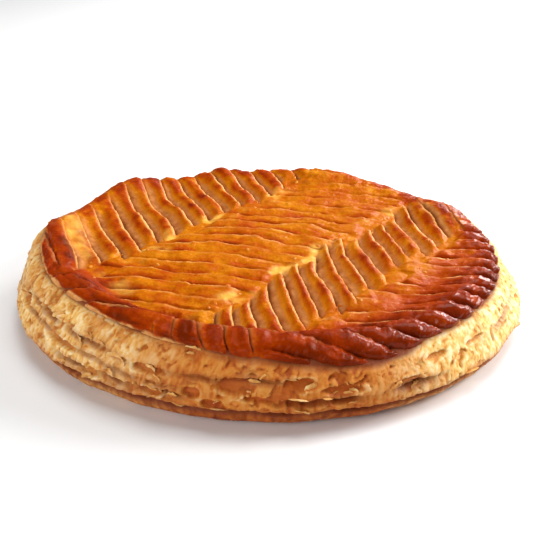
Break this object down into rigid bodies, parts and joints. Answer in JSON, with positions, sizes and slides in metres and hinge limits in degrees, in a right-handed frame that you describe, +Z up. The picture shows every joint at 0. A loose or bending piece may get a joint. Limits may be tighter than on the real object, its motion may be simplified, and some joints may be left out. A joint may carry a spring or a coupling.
{
  "type": "galette des rois",
  "caption": "Round puff pastry pie with a puffed layered side, an uneven raised rim and a sunken glazed top scored in a herringbone.",
  "frame": {"origin": "middle of the flat underside", "axes": "+Z up; the side nearest the viewer faces -Y"},
  "size_m": [0.2592, 0.2581, 0.0397],
  "materials": {
    "glazed_pastry": "egg-washed and baked, satin"
  },
  "bodies": {
    "root": {"galette": "glazed_pastry"}
  },
  "joints": []
}
